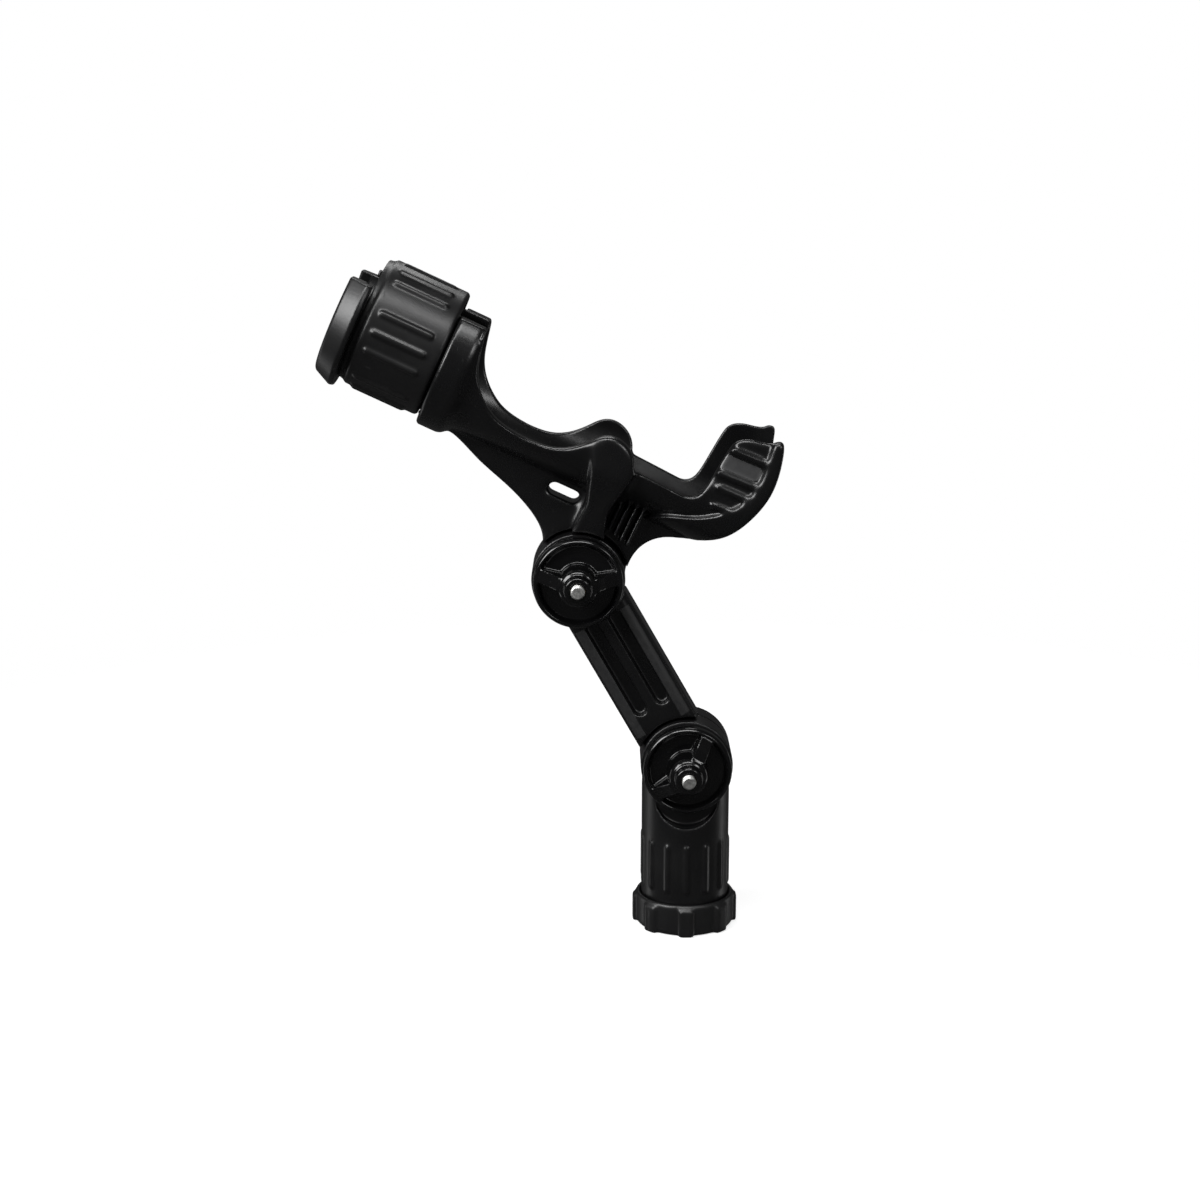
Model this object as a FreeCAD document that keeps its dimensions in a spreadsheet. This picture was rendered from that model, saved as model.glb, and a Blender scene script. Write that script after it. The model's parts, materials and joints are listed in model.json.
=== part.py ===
"""Adjustable rod holder for a small boat, in millimetres.

A ribbed stem stands on its mount, held by a captive nut.  A link arm pivots on the stem and the
cradle pivots on the arm; each pivot is a pair of toothed ears squeezed by a bolt and a wing knob.
The cradle is a trough for the rod, and a slotted collar turns on its tube to lock the rod in.

The origin is the mouth of the stem's socket, on its axis.  +Z is up the stem, +X is towards the
cradle's hook and -Y is the side that the knobs are on.  Ears, arm and cradle are drawn in a
facing frame: x right, y up, and z out of -Y, with z = 0 where the two ears of a pivot meet.
"""
import FreeCAD
import Part
import Sketcher
import math
import os
from types import SimpleNamespace
from FreeCAD import Placement, Rotation, Vector

DRIVING = {
    # stem and captive nut
    "stem_radius": 20.6,
    "foot_radius": 18.0,
    "shoulder_height": 13.2,
    "socket_radius": 12.5,
    "socket_depth": 40.0,
    "stem_rib_radius": 1.9,
    "stem_rib_height": 0.9,
    "stem_rib_low": 21.6,
    "stem_rib_high": 42.6,
    "stem_rib_count": 14,
    "circlip_low": 8.0,
    "circlip_thickness": 1.2,
    "circlip_seat_radius": 16.8,
    "circlip_radius": 19.4,
    "circlip_mouth": 36.0,
    "glide_thickness": 1.1,
    "nut_radius": 23.3,
    "nut_lug_radius": 24.8,
    "nut_height": 15.5,
    "nut_thread_radius": 20.4,
    "nut_lip_low": 10.4,
    "nut_lip_high": 12.9,
    "nut_lug_count": 8,
    "nut_lug_angle": 17.0,
    # toothed pivots
    "pivot_height": 81.0,
    "arm_length": 101.6,
    "arm_lean": 29.6,
    "ear_radius": 21.4,
    "ear_thickness": 14.0,
    "ear_gap": 0.15,
    "ear_sweep": 22.6,
    "tooth_count": 24,
    "tooth_height": 1.0,
    "tooth_inner": 10.0,
    "tooth_outer": 16.5,
    "recess_inner": 8.6,
    "recess_outer": 18.0,
    "recess_depth": 2.3,
    "seat_radius": 15.1,
    "seat_drop": 13.5,
    # link arm
    "arm_half_width": 15.5,
    "arm_half_depth": 11.5,
    "rib_half_width": 2.6,
    "groove_width": 6.4,
    "groove_depth": 5.0,
    "groove_low": 34.0,
    "groove_high": 78.0,
    # bolts, washers and wing knobs
    "bolt_radius": 3.15,
    "bolt_hole_radius": 3.4,
    "bolt_tip": 39.5,
    "head_height": 4.4,
    "head_flats": 11.0,
    "head_pocket": 4.8,
    "washer_radius": 8.5,
    "washer_thickness": 1.5,
    "knob_gap": 0.05,
    "knob_radius": 20.6,
    "rim_height": 6.6,
    "rim_width": 2.9,
    "rim_round": 1.2,
    "knob_floor": 2.8,
    "hub_radius": 9.2,
    "nose_radius": 6.3,
    "knob_height": 21.0,
    "wing_width": 6.4,
    "wing_angle": 158.0,
    "insert_radius": 5.0,
    "insert_low": 5.0,
    "insert_length": 12.5,
    # cradle: x along the rod axis from the collar's open end, y square to it and up
    "cradle_tilt": 25.0,
    "pivot_along": 96.8,
    "pivot_below": 65.9,
    "trough_radius": 23.0,
    "tube_radius": 26.5,
    "tube_end": 42.5,
    "tube_top": 21.0,
    "mouth_half_width": 14.5,
    "wall_radius": 28.6,
    "hook_wall_radius": 26.4,
    "hook_rim_radius": 29.2,
    "flange_radius": 33.0,
    "flange_start": 0.5,
    "flange_end": 10.5,
    "flange_foot": 17.0,
    "web_half_width": 7.5,
    "slot_length": 15.4,
    "slot_width": 5.7,
    # locking collar, its detent and pads, and the end cap
    "collar_length": 38.9,
    "collar_gap": 0.3,
    "collar_bore": 26.8,
    "collar_radius": 29.8,
    "collar_mouth": 60.0,
    "collar_group": 65.5,
    "collar_rib_step": 17.0,
    "collar_rib_radius": 1.8,
    "collar_rib_proud": 1.1,
    "collar_rib_start": 31.0,
    "collar_rib_end": 8.0,
    "cap_start": 50.0,
    "cap_end": 39.6,
    "cap_top": 17.0,
    "cap_face_radius": 30.0,
    "cap_rim_radius": 33.6,
    "cap_screw_radius": 1.1,
    "cap_screw_head": 1.7,
    "cap_screw_circle": 24.75,
    "cap_screw_length": 14.0,
    "detent_radius": 1.5,
    "detent_circle": 28.2,
    "detent_depth": 8.5,
    "pad_inner": 25.3,
    "pad_outer": 26.7,
    "pad_length": 18.0,
    "pad_angle": 24.0,
}
FIT = 0.05                  # clearance of a washer, clip or insert in its seat
FAR = 80.0                  # long enough for a cutting tool to pass right through any piece
KNOB_WING = {"lower": 60.0, "upper": 9.0}      # where each knob's first wing points, from +X
RIGHT_TURN = 90.0

doc = FreeCAD.newDocument("rod_holder")
sheet = doc.addObject("Spreadsheet::Sheet", "Dims")
for row, (alias, value) in enumerate(DRIVING.items(), start=1):
    sheet.set(f"A{row}", alias)
    sheet.set(f"B{row}", str(value))
    sheet.setAlias(f"B{row}", alias)
doc.recompute()


class Size:
    """A length or count, together with the sheet expression that it comes from."""

    def __init__(self, value, text=None):
        self.value = float(value)
        self.text = text if text is not None else repr(float(value))

    def __float__(self):
        return self.value

    def __add__(self, other):
        other = as_size(other)
        return Size(self.value + other.value, f"({self.text} + {other.text})")

    def __sub__(self, other):
        other = as_size(other)
        return Size(self.value - other.value, f"({self.text} - {other.text})")

    def __mul__(self, other):
        other = as_size(other)
        return Size(self.value * other.value, f"({self.text} * {other.text})")

    def __truediv__(self, other):
        other = as_size(other)
        return Size(self.value / other.value, f"({self.text} / {other.text})")

    def __neg__(self):
        return Size(-self.value, f"(-1 * {self.text})")

    def __radd__(self, other):
        return as_size(other) + self

    def __rsub__(self, other):
        return as_size(other) - self

    def __rmul__(self, other):
        return as_size(other) * self


def as_size(number):
    """A Size as it is, or a plain number as a constant one."""
    return number if isinstance(number, Size) else Size(number)


D = SimpleNamespace(**{alias: Size(sheet.get(alias), f"Dims.{alias}") for alias in DRIVING})
V = SimpleNamespace(**{alias: float(sheet.get(alias)) for alias in DRIVING})


# ---------------------------------------------------------------- frames
FACING = Rotation(Vector(1, 0, 0), RIGHT_TURN)


def facing_place(x, height, turn=0.0):
    """The placement of a facing frame: its origin at (x, 0, height), turned about its own z."""
    return Placement(Vector(x, 0, height), FACING * Rotation(Vector(0, 0, 1), turn))


def lower_pivot_place(turn=0.0):
    """The facing frame of the pivot between the stem and the arm."""
    return facing_place(0, V.pivot_height, turn)


def upper_pivot_place(turn=0.0):
    """The facing frame of the pivot between the arm and the cradle."""
    lean = math.radians(V.arm_lean)
    across = -V.arm_length * math.sin(lean)
    return facing_place(across, V.pivot_height + V.arm_length * math.cos(lean), turn)


def cradle_place():
    """The cradle's frame: tilted, with the upper pivot at (pivot_along, -pivot_below) in it."""
    to_pivot = Placement(Vector(-V.pivot_along, V.pivot_below, 0), Rotation())
    return upper_pivot_place(-V.cradle_tilt) * to_pivot


# ---------------------------------------------------------------- document objects
def bind(obj, **sizes):
    """Bind an object's properties to the sheet."""
    for name, amount in sizes.items():
        obj.setExpression(name, as_size(amount).text)
    return obj


def primitive(kind, name, at=(0, 0, 0), rotation=None, **sizes):
    """A Part primitive with bound sizes, its own origin at a bound place."""
    obj = doc.addObject(f"Part::{kind}", name)
    if rotation is not None:
        obj.Placement = Placement(Vector(), rotation)
    for axis, amount in zip("xyz", at):
        obj.setExpression(f".Placement.Base.{axis}", as_size(amount).text)
    return bind(obj, **sizes)


def cut(name, base, tools):
    """Base with every tool taken away."""
    tool = tools[0] if len(tools) == 1 else fuse(f"{name}_tools", tools)
    obj = doc.addObject("Part::Cut", name)
    obj.Base = base
    obj.Tool = tool
    return obj


def fuse(name, shapes):
    """All the shapes as one."""
    obj = doc.addObject("Part::MultiFuse", name)
    obj.Shapes = shapes
    return obj


def shaped(name, shape):
    """A feature whose shape is worked out here from the sheet's sizes."""
    obj = doc.addObject("Part::Feature", name)
    obj.Shape = shape
    return obj


def new_body(name):
    """An empty PartDesign body."""
    return doc.addObject("PartDesign::Body", name)


def sketch_on(body, name, role, offset=0.0):
    """A sketch on one of the body's own origin planes, moved along the plane's normal."""
    sketch = body.newObject("Sketcher::SketchObject", name)
    plane = next(item for item in body.Origin.OriginFeatures if item.Role == role)
    sketch.AttachmentSupport = (plane, [""])
    sketch.MapMode = "FlatFace"
    sketch.setExpression(".AttachmentOffset.Base.z", as_size(offset).text)
    return sketch


def fix_corner(sketch, line, across, up):
    """Hold the first end of a line at bound distances from the sketch's origin."""
    for kind, axis, amount in (("DistanceX", -2, as_size(across)), ("DistanceY", -1, as_size(up))):
        if amount.value == 0.0:
            sketch.addConstraint(Sketcher.Constraint("PointOnObject", line, 1, axis))
            continue
        index = sketch.addConstraint(Sketcher.Constraint(kind, -1, 1, line, 1, amount.value))
        sketch.setExpression(f"Constraints[{index}]", amount.text)


def outline(sketch, corners):
    """A closed polygon, each corner held by two bound distances."""
    points = [Vector(float(across), float(up), 0) for across, up in corners]
    count = len(points)
    for k, point in enumerate(points):
        sketch.addGeometry(Part.LineSegment(point, points[(k + 1) % count]))
    for k in range(count):
        sketch.addConstraint(Sketcher.Constraint("Coincident", k, 2, (k + 1) % count, 1))
    for k, (across, up) in enumerate(corners):
        fix_corner(sketch, k, across, up)


def turned(name, corners):
    """A body turned about its own z axis from an outline of (radius, height) corners."""
    body = new_body(name)
    sketch = sketch_on(body, f"{name}_profile", "XZ_Plane")
    outline(sketch, corners)
    feature = body.newObject("PartDesign::Revolution", f"{name}_turning")
    feature.Profile = sketch
    feature.ReferenceAxis = (sketch, ["V_Axis"])
    feature.Angle = 360.0
    return body


def patterned(body, feature, count, name):
    """Repeat a feature round the body's z axis."""
    pattern = body.newObject("PartDesign::PolarPattern", name)
    pattern.Originals = [feature]
    axis = next(item for item in body.Origin.OriginFeatures if item.Role == "Z_Axis")
    pattern.Axis = (axis, [""])
    pattern.Angle = 360.0
    pattern.setExpression("Occurrences", as_size(count).text)
    body.Tip = pattern
    return pattern


# ---------------------------------------------------------------- plain shapes
def cylinder(radius, low, high, x=0.0, y=0.0):
    """A cylinder along z."""
    return Part.makeCylinder(radius, high - low, Vector(x, y, low))


def rod_cylinder(radius, start, end):
    """A cylinder along the x axis."""
    return Part.makeCylinder(radius, end - start, Vector(start, 0, 0), Vector(1, 0, 0))


def block(x, y, z):
    """A box from three (low, high) pairs."""
    return Part.makeBox(x[1] - x[0], y[1] - y[0], z[1] - z[0], Vector(x[0], y[0], z[0]))


def slab(edges, low, high):
    """A closed run of edges, extruded along z from low to high."""
    wire = Part.Wire(Part.__sortEdges__(edges))
    face = Part.Face(wire)
    face.translate(Vector(0, 0, low))
    return face.extrude(Vector(0, 0, high - low))


def polygon_edges(points):
    """The straight edges of a closed polygon of (x, y) points."""
    corners = [Vector(x, y, 0) for x, y in points]
    return [Part.makeLine(a, b) for a, b in zip(corners, corners[1:] + corners[:1])]


def prism(points, low, high):
    """A polygon of (x, y) points, extruded along z."""
    return slab(polygon_edges(points), low, high)


def turned_about_rod(corners):
    """A solid turned about the x axis from a polygon of (x, radius) corners."""
    points = [Vector(x, radius, 0) for x, radius in corners]
    face = Part.Face(Part.makePolygon(points + points[:1]))
    return face.revolve(Vector(), Vector(1, 0, 0), 360)


def curve(points):
    """A smooth edge through (x, y) points."""
    spline = Part.BSplineCurve()
    spline.interpolate([Vector(x, y, 0) for x, y in points])
    return spline.toShape()


def tooth(angle, side):
    """One tapered tooth of a pivot's face, its ridge rising with the distance from the axis."""
    share = 0.46 * 2 * math.pi / V.tooth_count

    def section(radius):
        height = side * V.tooth_height * radius / V.tooth_outer
        across = radius * math.tan(share)
        corners = [Vector(radius, -across, 0), Vector(radius, across, 0), Vector(radius, 0, height)]
        return Part.makePolygon(corners + corners[:1])

    solid = Part.makeLoft([section(V.tooth_inner), section(V.tooth_outer)], True, True)
    solid.rotate(Vector(), Vector(0, 0, 1), angle)
    return solid


def tooth_ring(side, height, start=0.0):
    """All the teeth of one face, standing on the plane z = height and pointing to side."""
    step = 360 / V.tooth_count
    teeth = [tooth(start + step * k, side) for k in range(int(V.tooth_count))]
    ring = Part.makeCompound(teeth)
    ring.translate(Vector(0, 0, height))
    return ring


# ---------------------------------------------------------------- pivots' ears
def near_ear():
    """The ear under a knob, with teeth that reach into the far ear's recess."""
    disc = cylinder(V.ear_radius, V.ear_gap, V.ear_thickness)
    return disc.fuse(tooth_ring(-1, V.ear_gap).Solids)


def far_ear():
    """The ear behind, without its recess, teeth and bolt seat."""
    return cylinder(V.ear_radius, -V.ear_thickness, -V.ear_gap)


def hexagon(flats, low, high):
    """A hexagonal prism along z."""
    radius = flats / math.sqrt(3)
    points = [(radius * math.cos(math.radians(60 * k)), radius * math.sin(math.radians(60 * k)))
              for k in range(6)]
    return prism(points, low, high)


def finish_far_ear(solid, x=0.0, y=0.0):
    """Cut the recess, the bolt's hole and its head's pocket, and stand the teeth in the recess."""
    floor = -V.ear_gap - V.recess_depth
    recess = cylinder(V.recess_outer, floor, 0).cut(cylinder(V.recess_inner, floor, 0))
    pocket = hexagon(V.head_flats + 2 * FIT, -V.ear_thickness - 1, -V.ear_thickness + V.head_pocket)
    hole = cylinder(V.bolt_hole_radius, -FAR, FAR)
    teeth = tooth_ring(1, floor, 180 / V.tooth_count)
    for tool in (recess, pocket, hole, teeth):
        tool.translate(Vector(x, y, 0))
    return solid.cut([recess, pocket, hole]).fuse(teeth.Solids)


def bolt_hole():
    """A clear way for a bolt through a near ear."""
    return cylinder(V.bolt_hole_radius, -FAR, FAR)


# ---------------------------------------------------------------- stem and captive nut
def base_stem():
    """The ribbed stem: foot, clip groove and socket below, and the lower pivot's near ear above."""
    clip_top = V.circlip_low + V.circlip_thickness
    stem = cylinder(V.foot_radius, 0, V.shoulder_height)
    stem = stem.fuse(cylinder(V.stem_radius, V.shoulder_height, V.pivot_height))
    groove = cylinder(V.foot_radius + 1, V.circlip_low - FIT, clip_top + FIT)
    groove = groove.cut(cylinder(V.circlip_seat_radius, 0, FAR))
    socket = cylinder(V.socket_radius, -1, V.socket_depth)
    stem = stem.cut([groove, socket]).fuse(stem_ribs())
    stem = stem.transformed(lower_pivot_place().inverse().toMatrix())
    sweep = cylinder(V.ear_sweep, -FAR, V.ear_gap)
    above = block((-FAR, FAR), (0, FAR), (-FAR, V.ear_gap))
    seat = block((-FAR, FAR), (-V.seat_drop, FAR), (V.ear_thickness, FAR))
    seat_end = cylinder(V.seat_radius, V.ear_thickness, FAR, 0, -V.seat_drop)
    stem = stem.cut([sweep, above]).fuse(near_ear())
    stem = stem.cut([seat, seat_end, bolt_hole()]).removeSplitter()
    feature = shaped("base_stem", stem)
    feature.Placement = lower_pivot_place()
    return feature


def stem_ribs():
    """The capsule-shaped grip ribs that stand out of the stem, one facing -Y."""
    reach = V.stem_radius + V.stem_rib_height - V.stem_rib_radius
    ribs = []
    for k in range(int(V.stem_rib_count)):
        angle = math.radians(-RIGHT_TURN + 360 * k / V.stem_rib_count)
        x = reach * math.cos(angle)
        y = reach * math.sin(angle)
        shaft = cylinder(V.stem_rib_radius, V.stem_rib_low, V.stem_rib_high, x, y)
        ends = [Part.makeSphere(V.stem_rib_radius, Vector(x, y, z))
                for z in (V.stem_rib_low, V.stem_rib_high)]
        ribs.append(shaft.fuse(ends))
    return ribs


def mount_nut():
    """The captive nut: a thread below, a lip that bears down on the glide ring, and grip lugs."""
    chamfer = 1.0
    rim = D.nut_radius
    body = turned("mount_nut", [
        (D.nut_thread_radius, 0),
        (rim - chamfer, 0),
        (rim, Size(chamfer)),
        (rim, D.nut_height - chamfer),
        (rim - chamfer, D.nut_height),
        (D.stem_radius + 1.1, D.nut_height),
        (D.stem_radius + 0.35, D.nut_height - 0.8),
        (D.stem_radius + 0.35, D.nut_lip_high),
        (D.foot_radius + 0.35, D.nut_lip_high),
        (D.foot_radius + 0.35, D.nut_lip_low),
        (D.nut_thread_radius, D.nut_lip_low),
    ])
    sketch = sketch_on(body, "nut_lug_outline", "XY_Plane")
    half = math.radians(V.nut_lug_angle / 2)
    inner = V.nut_radius - 1.2
    bevel = 0.8
    corners = [(inner * math.cos(half), -inner * math.sin(half)),
               (V.nut_lug_radius - bevel, -V.nut_lug_radius * math.sin(half)),
               (V.nut_lug_radius, -V.nut_lug_radius * math.sin(half) + bevel),
               (V.nut_lug_radius, V.nut_lug_radius * math.sin(half) - bevel),
               (V.nut_lug_radius - bevel, V.nut_lug_radius * math.sin(half)),
               (inner * math.cos(half), inner * math.sin(half))]
    outline(sketch, corners)
    lug = body.newObject("PartDesign::Pad", "nut_lug")
    lug.Profile = sketch
    bind(lug, Length=D.nut_height - 2.2)
    patterned(body, lug, D.nut_lug_count, "nut_lugs")
    return body


def stem_circlip():
    """The open spring clip in the foot's groove that keeps the nut on the stem."""
    low = D.circlip_low
    inner = D.circlip_seat_radius + FIT
    ring = primitive("Cylinder", "clip_disc", (0, 0, low), Radius=D.circlip_radius,
                     Height=D.circlip_thickness)
    hole = primitive("Cylinder", "clip_hole", (0, 0, low - 1), Radius=inner,
                     Height=D.circlip_thickness + 2)
    mouth = primitive("Cylinder", "clip_mouth", (0, 0, low - 1), Radius=D.circlip_radius + 5,
                      Height=D.circlip_thickness + 2, Angle=D.circlip_mouth)
    return cut("stem_circlip", ring, [hole, mouth])


def nut_glide_ring():
    """The slippery ring between the clip and the nut's lip."""
    low = D.circlip_low + D.circlip_thickness
    disc = primitive("Cylinder", "glide_disc", (0, 0, low), Radius=D.nut_thread_radius - 0.4,
                     Height=D.glide_thickness)
    hole = primitive("Cylinder", "glide_hole", (0, 0, low - 1), Radius=D.foot_radius + FIT,
                     Height=D.glide_thickness + 2)
    return cut("nut_glide_ring", disc, [hole])


# ---------------------------------------------------------------- bolts, washers and knobs
def pivot_bolt(name, place):
    """A hexagon-headed bolt whose head sits in the far ear and whose tip shows in the knob."""
    seat = D.head_pocket - D.ear_thickness
    tip = 0.7
    head = doc.addObject("Part::Prism", f"{name}_head")
    bind(head, Circumradius=D.head_flats / math.sqrt(3), Height=D.head_height)
    head.setExpression(".Placement.Base.z", (seat - D.head_height).text)
    shank = primitive("Cylinder", f"{name}_shank", (0, 0, seat - 1), Radius=D.bolt_radius,
                      Height=D.bolt_tip - tip - seat + 1)
    point = primitive("Cone", f"{name}_point", (0, 0, D.bolt_tip - tip), Radius1=D.bolt_radius,
                      Radius2=D.bolt_radius - tip, Height=Size(tip))
    bolt = fuse(name, [head, shank, point])
    bolt.Placement = place
    return bolt


def pivot_washer(name, place):
    """The flat washer between a near ear and its knob."""
    disc = primitive("Cylinder", f"{name}_disc", (0, 0, D.ear_thickness), Radius=D.washer_radius,
                     Height=D.washer_thickness)
    hole = primitive("Cylinder", f"{name}_hole", (0, 0, D.ear_thickness - 1),
                     Radius=D.bolt_radius + 0.1, Height=D.washer_thickness + 2)
    washer = cut(name, disc, [hole])
    washer.Placement = place
    return washer


def knob_place(place):
    """A knob's frame: its back face, a running gap in front of the washer."""
    back = V.ear_thickness + V.washer_thickness + V.knob_gap
    return place * Placement(Vector(0, 0, back), Rotation())


def knob_insert(name, place):
    """The threaded brass sleeve moulded into a knob."""
    low = D.insert_low
    sleeve = primitive("Cylinder", f"{name}_sleeve", (0, 0, low), Radius=D.insert_radius,
                       Height=D.insert_length)
    thread = primitive("Cylinder", f"{name}_thread", (0, 0, low - 1), Radius=D.bolt_radius + FIT,
                       Height=D.insert_length + 2)
    insert = cut(name, sleeve, [thread])
    insert.Placement = knob_place(place)
    return insert


def wing_knob(name, place):
    """A dished knob: a round rim, a domed hub and two wings for the fingers."""
    bore = D.bolt_hole_radius + 0.1
    rim_in = D.knob_radius - D.rim_width
    step = D.knob_height - 4.4
    insert_top = D.insert_low + D.insert_length
    dish = turned(f"{name}_dish", [
        (bore, 0),
        (D.knob_radius - 1.0, 0),
        (D.knob_radius, Size(1.0)),
        (D.knob_radius, D.rim_height - D.rim_round),
        (D.knob_radius - D.rim_round, D.rim_height),
        (rim_in + D.rim_round, D.rim_height),
        (rim_in, D.rim_height - D.rim_round),
        (rim_in, D.knob_floor + 0.8),
        (rim_in - 0.8, D.knob_floor),
        (D.hub_radius, D.knob_floor),
        (D.hub_radius, step - 4.0),
        (D.hub_radius - 0.5, step - 1.8),
        (D.hub_radius - 1.7, step - 0.4),
        (D.nose_radius, step),
        (D.nose_radius, D.knob_height - 0.7),
        (D.nose_radius - 0.7, D.knob_height),
        (bore, D.knob_height),
        (bore, insert_top),
        (D.insert_radius, insert_top),
        (D.insert_radius, D.insert_low),
        (bore, D.insert_low),
    ])
    wings = [knob_wing(f"{name}_wing_{k + 1}", k * V.wing_angle) for k in range(2)]
    core = primitive("Cylinder", f"{name}_core", (0, 0, 0), Radius=D.insert_radius,
                     Height=D.knob_height)
    trimmed = [cut(f"{name}_wing_{k + 1}_trimmed", wing, [core]) for k, wing in enumerate(wings)]
    knob = fuse(name, [dish] + trimmed)
    knob.Placement = knob_place(place)
    return knob


def knob_wing(name, angle):
    """One wing: a flat-topped bar that slopes from the hub down to the rim."""
    body = new_body(name)
    sketch = sketch_on(body, f"{name}_side", "XZ_Plane", -D.wing_width / 2)
    outline(sketch, [
        (Size(4.0), D.knob_floor - 0.5),
        (D.knob_radius - D.rim_width + 0.6, D.knob_floor - 0.5),
        (D.knob_radius - D.rim_width + 0.6, D.rim_height - 0.4),
        (D.knob_radius - 8.0, D.rim_height + 4.4),
        (D.hub_radius, D.knob_height - 6.0),
        (Size(4.0), D.knob_height - 5.4),
    ])
    pad = body.newObject("PartDesign::Pad", f"{name}_bar")
    pad.Profile = sketch
    bind(pad, Length=D.wing_width)
    body.Placement = Placement(Vector(), Rotation(Vector(0, 0, 1), angle))
    return body


# ---------------------------------------------------------------- link arm
def extension_arm():
    """The link: far ear at the stem, ribbed bar, near ear at the cradle."""
    top = V.arm_length
    bar = block((-V.arm_half_width, V.arm_half_width), (0, top), (-V.arm_half_depth, V.arm_half_depth))
    sides = [edge for edge in bar.Edges if abs(edge.tangentAt(edge.FirstParameter).y) > 0.99]
    bar = bar.makeFillet(4.5, sides)
    lower_sweep = cylinder(V.ear_sweep, -V.ear_gap, FAR)
    upper_sweep = cylinder(V.ear_sweep, -FAR, V.ear_gap, 0, top)
    lower_ear = far_ear()
    upper_ear = near_ear()
    upper_ear.translate(Vector(0, top, 0))
    bar = bar.cut([lower_sweep, upper_sweep] + arm_grooves())
    lower_recess = cylinder(V.recess_outer, -V.ear_thickness, 0)
    upper_recess = cylinder(V.recess_outer, 0, FAR, 0, top)
    bar = bar.cut([lower_recess, upper_recess])
    arm = bar.fuse([lower_ear, upper_ear])
    upper_hole = cylinder(V.bolt_hole_radius, -FAR, FAR, 0, top)
    arm = finish_far_ear(arm.cut(upper_hole)).removeSplitter()
    feature = shaped("extension_arm", arm)
    feature.Placement = lower_pivot_place(V.arm_lean)
    return feature


def arm_grooves():
    """The round-ended grooves beside the arm's middle rib, on its front and back."""
    half = V.groove_width / 2
    across = V.rib_half_width + half
    floor = V.arm_half_depth - V.groove_depth
    tools = []
    for x in (-across, across):
        for low, high in ((floor, FAR), (-FAR, -floor)):
            slot = block((x - half, x + half), (V.groove_low, V.groove_high), (low, high))
            ends = [cylinder(half, low, high, x, y) for y in (V.groove_low, V.groove_high)]
            tools.append(slot.fuse(ends))
    return tools


# ---------------------------------------------------------------- cradle
RIM = [  # the swoop from the flange's top to the hump above the pivot
    (12.5, 21.0), (14.7, 10.8), (17.0, 2.7), (21.0, -4.0), (27.0, -9.6), (33.0, -13.0),
    (41.0, -15.0), (52.0, -15.5), (62.0, -13.6), (68.0, -10.0), (74.0, -4.0), (80.0, 1.5),
    (86.0, 2.2), (93.0, -1.0), (97.0, -8.0),
]
NOTCH = [(97.0, -8.0), (122.5, -9.2)]
HOOK_FRONT = [(122.5, -9.2), (127.6, -6.4), (129.6, 1.0), (130.8, 15.0), (131.6, 20.5)]
HOOK_TOP = [(131.6, 20.5), (134.0, 24.2), (140.0, 26.8), (145.5, 28.0), (149.2, 30.4)]
HOOK_TIP = [(149.2, 30.4), (151.4, 31.0), (153.0, 29.2)]
HOOK_BACK = [
    (153.0, 29.2), (155.8, 19.5), (156.8, 7.0), (153.9, -5.5), (146.6, -20.0), (135.6, -28.1),
    (122.9, -33.5), (117.0, -40.0), (114.9, -47.6), (117.5, -60.0),
]
NECK_FOOT = [(117.5, -60.0), (96.8, -72.0), (76.0, -66.0)]
NECK_BACK = [
    (76.0, -66.0), (74.3, -56.1), (63.7, -47.2), (45.4, -39.9), (32.5, -35.8), (21.6, -31.3),
    (12.5, -29.0),
]
CRADLE_EDGE = [(12.5, -29.0), (12.5, 21.0)]
SLOT_CENTRE = (74.4, -33.2)
HOOK_START = 99.0       # where the thicker swoop wall gives way to the hook's wall
RIM_LINE = [            # the hook rim's inner edge
    (104.0, -33.0), (110.4, -29.2), (118.0, -22.4), (128.8, -17.2), (139.9, -9.6), (148.1, 1.7),
    (149.8, 13.3), (148.9, 21.4), (147.6, 34.0),
]
CROSS_RIBS = [          # centre line of each short rib on the hook's wall, with its half width
    ((134.0, -7.4), (145.0, -6.4), 1.2),
    ((133.0, 1.4), (148.5, 1.6), 1.4),
    ((130.5, 7.2), (149.5, 8.2), 1.4),
    ((132.0, 18.8), (149.5, 19.6), 1.4),
]
FLOOR_RIB_REACH = 14.0
FLOOR_RIBS = [(96.0, -31.0), (99.5, -33.2), (103.0, -34.6), (106.5, -35.6), (110.0, -36.4)]


def side_outline():
    """The cradle's outline from the side."""
    runs = [RIM, NOTCH, HOOK_FRONT, HOOK_TOP, HOOK_TIP, HOOK_BACK, NECK_FOOT, NECK_BACK, CRADLE_EDGE]
    return [curve(run) for run in runs]


def trough_section(radius):
    """A long bar with the trough's section: round below the rod axis and straight-sided above."""
    round_part = rod_cylinder(radius, -FAR, 3 * FAR)
    return round_part.fuse(block((-FAR, 3 * FAR), (0, FAR), (-radius, radius)))


def beyond(start):
    """Everything past x = start."""
    return block((start, 3 * FAR), (-2 * FAR, FAR), (-FAR, FAR))


def hook_rim():
    """The raised rim that follows the hook's back edge."""
    x_end = 2 * FAR
    inner = curve(RIM_LINE)
    (x_low, y_low), (x_top, y_top) = RIM_LINE[0], RIM_LINE[-1]
    closing = [(x_top, y_top), (x_end, y_top), (x_end, -FAR), (x_low, -FAR), (x_low, y_low)]
    corners = [Vector(x, y, 0) for x, y in closing]
    edges = [inner] + [Part.makeLine(a, b) for a, b in zip(corners, corners[1:])]
    return slab(edges, -FAR, FAR)


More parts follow.
